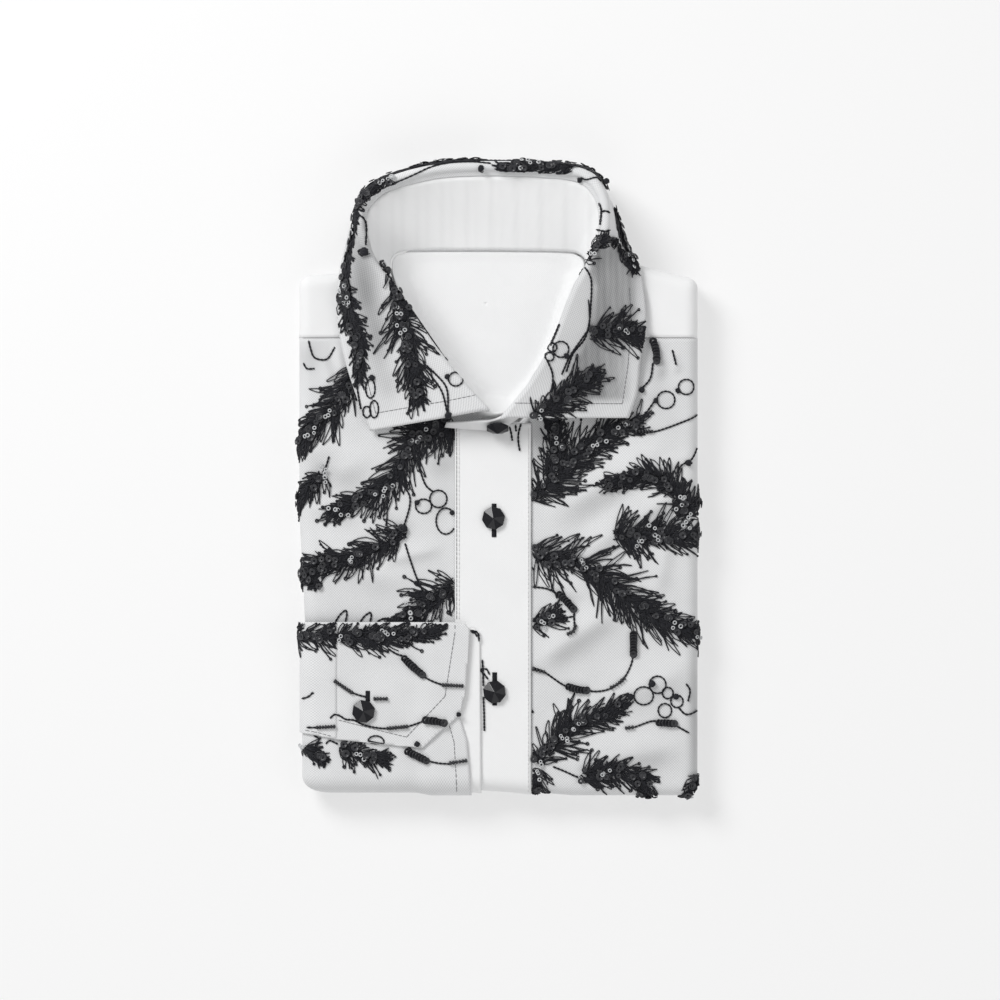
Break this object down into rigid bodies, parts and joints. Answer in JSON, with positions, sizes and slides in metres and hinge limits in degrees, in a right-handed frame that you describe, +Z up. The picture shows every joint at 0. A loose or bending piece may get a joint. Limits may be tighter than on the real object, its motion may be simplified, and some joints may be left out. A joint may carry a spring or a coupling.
{
  "type": "folded sequined dress shirt",
  "caption": "Folded dress shirt lying flat, front up, with spread collar, buttoned placket, a cuff folded over the front, and dark sprig embroidery with sequins.",
  "frame": {"origin": "middle of the underside, at the middle of the outline in plan", "axes": "+Y from the hem fold to the collar, +X to the viewer's right when the shirt is seen from above, +Z up from the surface it lies on"},
  "size_m": [0.2156, 0.3432, 0.0455],
  "materials": {
    "embroidered_cloth": "matt pale grey fine weave with dark embroidery",
    "white_cloth": "matt white fine weave",
    "black_crystal": "high gloss, faceted",
    "embroidery_thread": "bluish black thread, slight sheen",
    "sequin": "glossy dark film"
  },
  "bodies": {
    "root": {"folded_back_and_sleeves": "white_cloth", "front_right": "embroidered_cloth", "front_left": "embroidered_cloth", "placket": "white_cloth", "yoke_right": "white_cloth", "yoke_left": "white_cloth", "yoke_inside": "white_cloth", "collar_stand": "white_cloth", "collar_leaf": "embroidered_cloth", "sleeve_right": "embroidered_cloth", "cuff_right": "embroidered_cloth", "cuff_underlap": "embroidered_cloth", "cuff_facing": "white_cloth", "button_placket_1": "black_crystal", "button_placket_2": "black_crystal", "button_cuff": "black_crystal", "button_collar": "black_crystal"}
  },
  "joints": []
}
